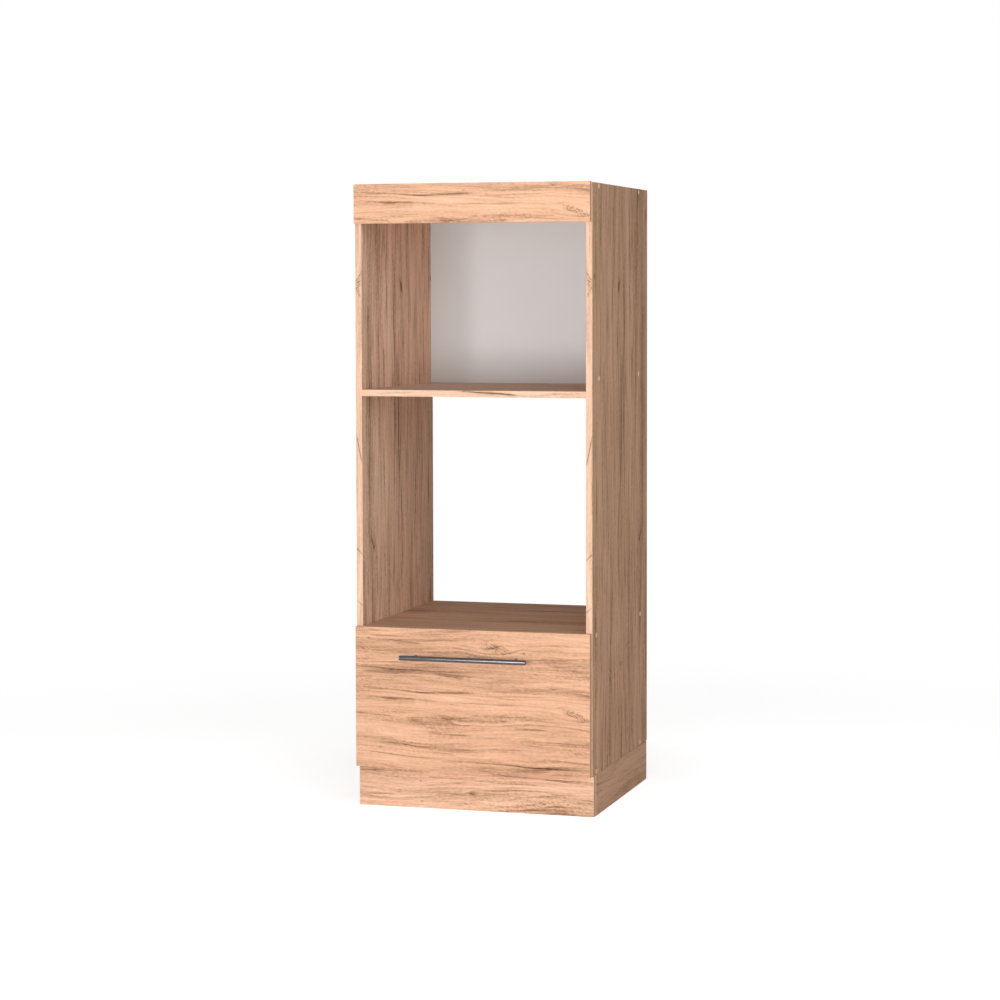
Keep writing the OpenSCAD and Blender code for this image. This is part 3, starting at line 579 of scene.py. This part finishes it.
def face_kind(face, low, high, thickness_axis, grain_axis, raw):
    """Which material a board face takes: print, edge band, their dark joint (glue line and painted
    edge shade) or chips.
    """
    axis = max(range(3), key=lambda number: abs(face.normal[number]))
    side = 1 if face.normal[axis] > 0 else -1
    outside = (high if side > 0 else low)[axis]
    if abs(face.calc_center_median()[axis] - outside) > 2 * EASE:
        return "raw"       # inside a groove, a notch or a hole
    if abs(face.normal[axis]) < WIDE:
        return "joint"
    if axis == thickness_axis:
        return "inner" if side * (low + high)[axis] < 0 else "print"
    if (axis, side) in raw:
        return "raw"
    return "band_end" if axis == grain_axis else "band_along"


def board(node, body, print_material, grain, raw=(), band=None, inner=None):
    """A board: the node's own shape with eased edges, edge bands and raw hidden edges.
    Inner is the print of the face that looks at the middle of the cabinet."""
    low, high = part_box(node)
    thickness_axis = thin_axis(low, high)
    grain_axis = "xyz".index(grain)
    across_axis = 3 - thickness_axis - grain_axis
    shape = node_shape(node)
    bmesh.ops.dissolve_limit(shape, angle_limit=FLAT, verts=shape.verts, edges=shape.edges)
    edges = [edge for edge in shape.edges if on_box_edge(edge, low, high)]
    bmesh.ops.bevel(shape, geom=edges, offset=EASE, segments=EASE_STEPS, profile=EASE_PROFILE,
                    affect="EDGES", clamp_overlap=True)
    materials = {
        "print": print_material, "band_along": band or BANDS[grain_axis],
        "band_end": BANDS[across_axis], "joint": JOINT_AND_EDGE_SHADE, "raw": CHIPBOARD,
        "inner": inner or print_material}
    kinds = list(materials)
    shape.normal_update()
    for face in shape.faces:
        kind = face_kind(face, low, high, thickness_axis, grain_axis, raw)
        face.material_index = kinds.index(kind)
        face.smooth = False
    piece(node, body, shape, materials.values())


def hardboard_panel(node, body):
    """Thin board, pale on its face and brown behind."""
    face_axis = thin_axis(*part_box(node))
    pale_side = -1 if face_axis == 1 else 1    # pale in front, or on top where it lies flat
    shape = node_shape(node)
    shape.normal_update()
    for face in shape.faces:
        face.material_index = 0 if face.normal[face_axis] * pale_side > WIDE else 1
        face.smooth = False
    piece(node, body, shape, (HARDBOARD_FACE, HARDBOARD_BACK))


def add_object(name, data):
    """Puts a mesh, a lamp or a camera in the scene."""
    made = bpy.data.objects.new(name, data)
    bpy.context.scene.collection.objects.link(made)
    return made


def piece(node, body, shape, materials):
    """Puts a dressed shape in the scene in a node's place."""
    mesh = bpy.data.meshes.new(node + "_dressed")
    shape.to_mesh(mesh)
    shape.free()
    if "custom_normal" in mesh.attributes:
        mesh.attributes.remove(mesh.attributes["custom_normal"])
    for material in materials:
        mesh.materials.append(material)
    made = add_object(node + "_dressed", mesh)
    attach(made, body)
    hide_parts(node)


def cover(material, *names):
    """Gives kept CAD nodes their finish."""
    for name in names:
        mesh = NODES[name].data
        mesh.materials.clear()
        mesh.materials.append(material)


BAND_LOOK = dict(tone=BAND_TONE, contrast=BAND_CONTRAST)
BANDS = [oak("oak_band_" + axis, axis, seed=20.0 + number, **BAND_LOOK)
         for number, axis in enumerate("xyz")]
SIDE_BAND = oak("oak_side_band", "z", seed=22.0, cracks=SIDE_EDGE_CRACKS, knots=SIDE_EDGE_KNOTS,
                edge_at=SIDE_EDGE_AT, **BAND_LOOK)
SHELF_BAND = oak("oak_shelf_band", "x", seed=23.0, cracks=SHELF_EDGE_CRACKS, **BAND_LOOK)
# the dark joint print: a glue line, and painted shade along the board edges
JOINT_AND_EDGE_SHADE = oak("oak_joint", "z", seed=24.0, tone=JOINT_AND_EDGE_SHADE_TONE, contrast=JOINT_AND_EDGE_SHADE_CONTRAST)
CHIPBOARD = chipboard()
HARDBOARD_FACE = lacquered_board()
HARDBOARD_BACK = raw_hardboard()

# Sides of a board, as an axis and a direction along it
RIGHT, LEFT, REAR, UP, DOWN = (0, 1), (0, -1), (1, 1), (2, 1), (2, -1)


def dress_carcass():
    upright = dict(cracks=SIDE_CRACKS, knots=SIDE_KNOTS, contrast=SIDE_CONTRAST)
    for hand, turned in (("right", False), ("left", True)):
        # outer faces take painted shade and inner faces painted light, from their tones
        outer = oak("oak_side_" + hand, "z", 1.0, tone=OUTER_PAINTED_SHADE, turned=turned, **upright)
        inner = oak("oak_inner_painted_light_" + hand, "z", 1.0, tone=INNER_PAINTED_LIGHT, turned=turned, **upright)
        board("side_panel_" + hand, "cabinet", outer, "z",
              raw=(REAR, UP, DOWN), band=SIDE_BAND, inner=inner)
    # the two shelves take painted shade from their tones
    for node, seed, tone, band in (
            ("top_panel", 30.0, PLAIN, None), ("bottom_panel", 33.0, PLAIN, None),
            ("oven_shelf", 36.0, OVEN_SHELF_PAINTED_SHADE, None),
            ("microwave_shelf", 39.0, MICROWAVE_SHELF_PAINTED_SHADE, SHELF_BAND)):
        board(node, "cabinet", oak("oak_" + node, "x", seed, tone=tone), "x",
              raw=(REAR, LEFT, RIGHT), band=band)
    board("fascia", "cabinet",
          oak("oak_fascia_painted_light", "x", 2.0, tone=FASCIA_PAINTED_LIGHT, cracks=FRONT_CRACKS,
              knots=FRONT_KNOTS, shift=FASCIA_RISE), "x")
    for node in ("upper_back_panel", "lower_back_panel"):
        hardboard_panel(node, "cabinet")


def dress_plinth():
    board("plinth_front", "cabinet",
          oak("oak_plinth", "x", 12.0, tone=PLINTH_TONE, cracks=PLINTH_CRACKS,
              knots=PLINTH_KNOTS, contrast=PLINTH_CONTRAST), "x", raw=(DOWN,))
    for node, seed in (("plinth_side_left", 14.0), ("plinth_side_right", 15.0)):
        # the plinth sides take the side panels' painted shade
        board(node, "cabinet", oak("oak_" + node, "y", seed, tone=OUTER_PAINTED_SHADE),
              "y", raw=(DOWN,))
    board("plinth_rear", "cabinet", oak("oak_plinth_rear", "x", 16.0),
          "x", raw=(DOWN,))


def dress_drawer():
    board("drawer_front", "drawer",
          oak("oak_drawer_front", "x", 2.0, cracks=FRONT_CRACKS, knots=FRONT_KNOTS), "x")
    for node, seed in (("drawer_inner_front", 50.0), ("drawer_back", 53.0)):
        board(node, "drawer", oak("oak_" + node, "x", seed), "x",
              raw=(LEFT, RIGHT, DOWN))
    for node, seed in (("drawer_side_left", 60.0), ("drawer_side_right", 63.0)):
        board(node, "drawer", oak("oak_" + node, "y", seed), "y", raw=(DOWN,))
    hardboard_panel("drawer_floor", "drawer")


def dress_fittings():
    cover(plastic("cap_plastic", (0.98, 0.66, 0.48), (1.00, 0.71, 0.53), 0.40, specular=0.12),
          "screw_caps_left", "screw_caps_right")
    cover(metal("zinc_steel", (0.42, 0.43, 0.44), (0.66, 0.67, 0.68), 0.38),
          "confirmat_screws_left", "confirmat_screws_right", "cam_bolts", "cam_locks",
          "fascia_brackets", "fascia_screws", "plinth_corner_brackets", "plinth_top_brackets",
          "plinth_screws", "runner_screws_cabinet", "front_roller_rivets", "drawer_confirmats",
          "drawer_front_screws", "drawer_floor_nails", "runner_screws_drawer",
          "rear_roller_rivets", "handle_screws")
    cover(beech(), "shelf_dowels")
    cover(plastic("runner_enamel", (0.74, 0.74, 0.71), (0.82, 0.82, 0.80), 0.35),
          "runner_cabinet_left", "runner_cabinet_right", "runner_drawer_left",
          "runner_drawer_right")
    cover(plastic("roller_nylon", (0.74, 0.72, 0.66), (0.84, 0.83, 0.78), 0.5),
          "front_roller_left", "front_roller_right", "rear_roller_left", "rear_roller_right")
    cover(plastic("bumper_rubber", (0.62, 0.62, 0.60), (0.74, 0.74, 0.72), 0.55),
          "drawer_bumpers")
    cover(metal("handle_steel", (0.098, 0.100, 0.104), (0.116, 0.118, 0.123), 0.14,
                streak=(0.02, 1.0, 1.0), scale=1500.0, height=0.01, spread=0.03),
          "handle_bar", "handle_post_left", "handle_post_right")


# ---------------------------------------------------------------- studio
FLOOR_HALF = 20.0
FLOOR_DROP = 0.0002
FLOOR_COLOUR = (0.80, 0.80, 0.80, 1.0)
FLOOR_GLOW = 0.75
SHADE_REACH = (0.9, 2.6)   # where the floor turns from lit floor to plain white, from the middle
AMBIENT = 0.07
LAMPS_AIM = (0.0, 0.0, 0.8)
LAMPS = [
    # name, place, size, power
    ("front", (-0.25, -5.20, 0.60), (2.5, 1.0), 90.0),
    ("strip", (-1.30, -5.20, 1.10), (0.45, 2.0), 25.0),
    ("right", (1.80, -2.80, 2.00), (5.0, 4.0), 84.0),
    ("rear", (-3.40, 3.00, 0.30), (2.6, 0.4), 34.0),
    ("above", (0.00, 0.00, 3.00), (0.5, 0.5), 12.0),
]


def floor_material():
    """White to the eye, darker only where the cabinet shades it. Light meets plain grey."""
    tree = material_tree("studio_floor")
    far = tree.ease(tree.length(tree.point()), *SHADE_REACH)
    plain = tree.node("ShaderNodeBsdfDiffuse", {"Color": FLOOR_COLOUR}).outputs[0]
    lit = tree.node("ShaderNodeAddShader", {0: plain, 1: tree.emission(FLOOR_GLOW)}).outputs[0]
    white = tree.node("ShaderNodeMixShader", {0: far, 1: lit, 2: tree.emission(1.0)}).outputs[0]
    both = tree.node("ShaderNodeMixShader", {0: tree.seen(), 1: plain, 2: white}).outputs[0]
    return tree.end(both)


def studio_floor():
    mesh = bpy.data.meshes.new("studio_floor")
    corners = [(x * FLOOR_HALF, y * FLOOR_HALF, -FLOOR_DROP)
               for x, y in ((-1, -1), (1, -1), (1, 1), (-1, 1))]
    mesh.from_pydata(corners, [], [(0, 1, 2, 3)])
    mesh.materials.append(floor_material())
    add_object("studio_floor", mesh)


def area_light(name, at, size, power):
    data = bpy.data.lights.new(name, "AREA")
    data.shape = "RECTANGLE"
    data.size, data.size_y = size
    data.energy = power
    lamp = add_object(name, data)
    lamp.location = at
    lamp.rotation_euler = (Vector(LAMPS_AIM) - Vector(at)).to_track_quat("-Z", "Y").to_euler()


def studio_world():
    """White to the eye, and a faint light from all round on everything else."""
    tree = Tree(bpy.data.worlds.new("studio"))
    strength = tree.math("MULTIPLY_ADD", tree.seen(), 1.0 - AMBIENT, AMBIENT)
    background = tree.node("ShaderNodeBackground", {"Color": WHITE, "Strength": strength})
    bpy.context.scene.world = tree.end(background.outputs[0], "ShaderNodeOutputWorld")


def photograph_camera():
    data = bpy.data.cameras.new("camera")
    data.sensor_width = CAMERA_SENSOR
    data.lens = CAMERA_LENS
    data.shift_y = CAMERA_SHIFT_Y
    camera = add_object("camera", data)
    turn = Euler((math.pi / 2 - CAMERA_PITCH, 0.0, CAMERA_YAW)).to_matrix()
    turn = turn @ Matrix.Rotation(CAMERA_ROLL, 3, "Z")
    camera.matrix_world = Matrix.Translation(CAMERA_AT) @ turn.to_4x4()
    bpy.context.scene.camera = camera


photograph_camera()
dress_carcass()
dress_plinth()
dress_drawer()
dress_fittings()
studio_floor()
studio_world()
for lamp in LAMPS:
    area_light(*lamp)
bpy.context.scene.view_settings.view_transform = "Standard"
